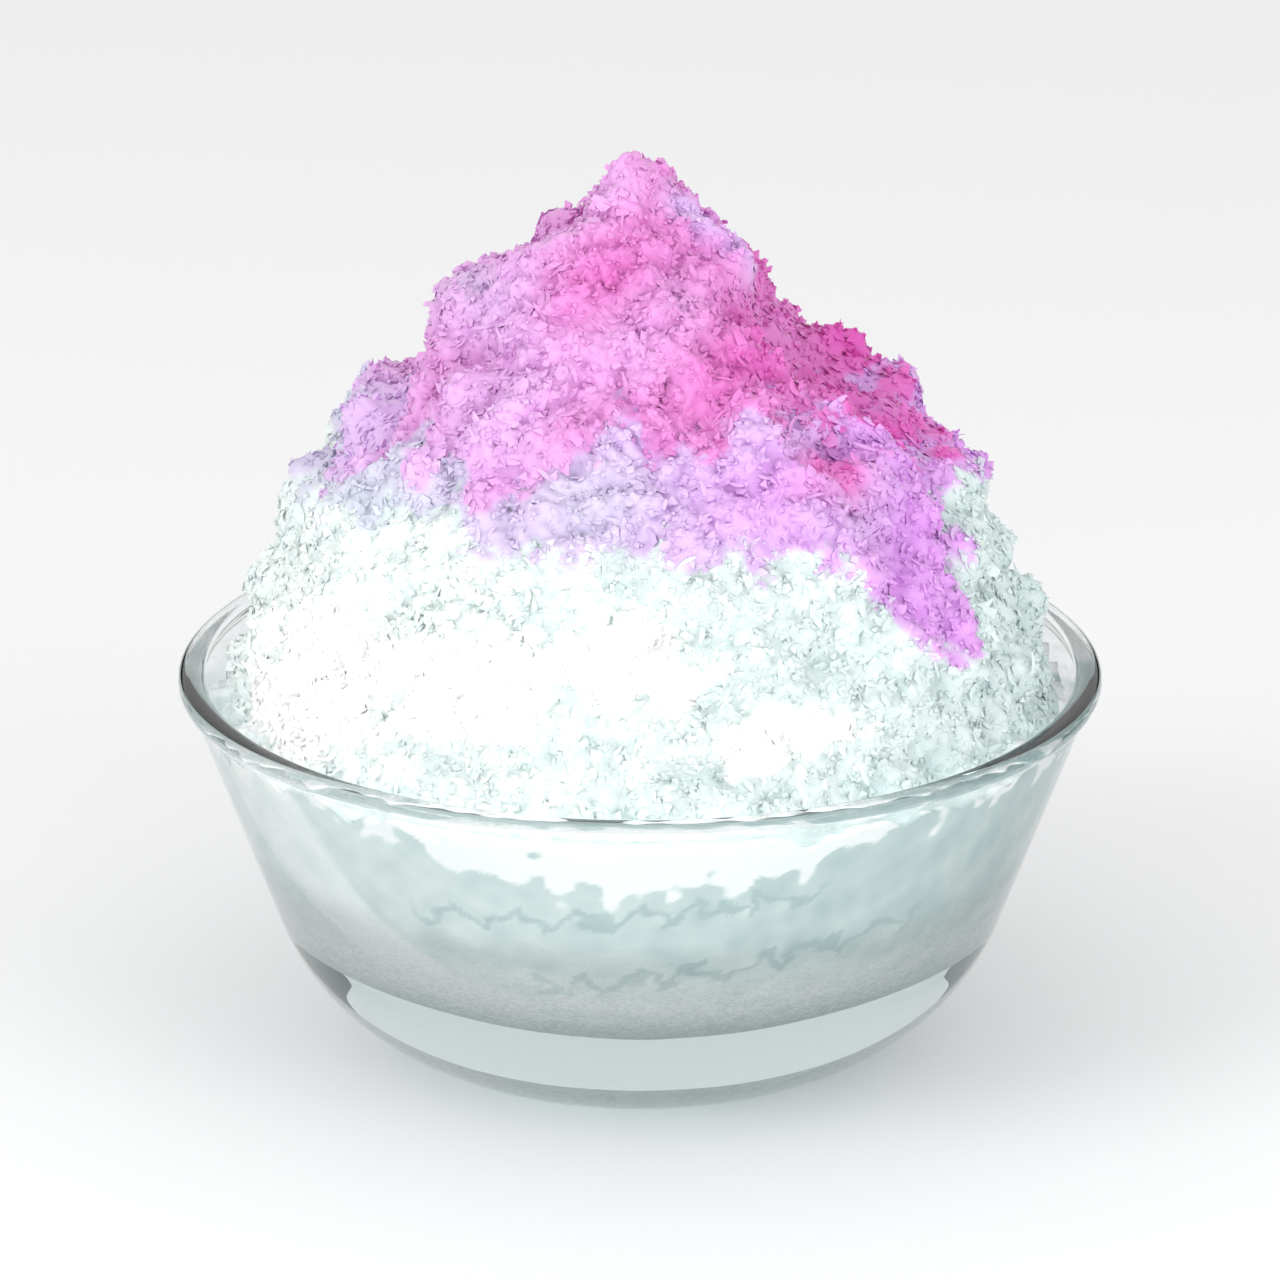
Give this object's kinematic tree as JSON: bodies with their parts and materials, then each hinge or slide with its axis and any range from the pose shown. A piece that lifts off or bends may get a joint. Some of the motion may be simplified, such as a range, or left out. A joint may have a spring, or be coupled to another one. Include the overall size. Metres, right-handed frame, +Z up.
{
  "type": "shaved ice dessert",
  "caption": "Tall ragged mound of shaved ice with fruit syrup over its top, heaped in a round, thick, clear glass bowl.",
  "frame": {"origin": "centre of the bowl's foot, on the table", "axes": "+Z up along the bowl's axis, -Y towards the front"},
  "size_m": [0.15, 0.15, 0.1499],
  "materials": {
    "bowl_glass": "clear, polished",
    "shaved_ice": "crumbly, wet with syrup on top"
  },
  "bodies": {
    "root": {"glass_bowl": "bowl_glass", "shaved_ice": "shaved_ice"}
  },
  "joints": []
}
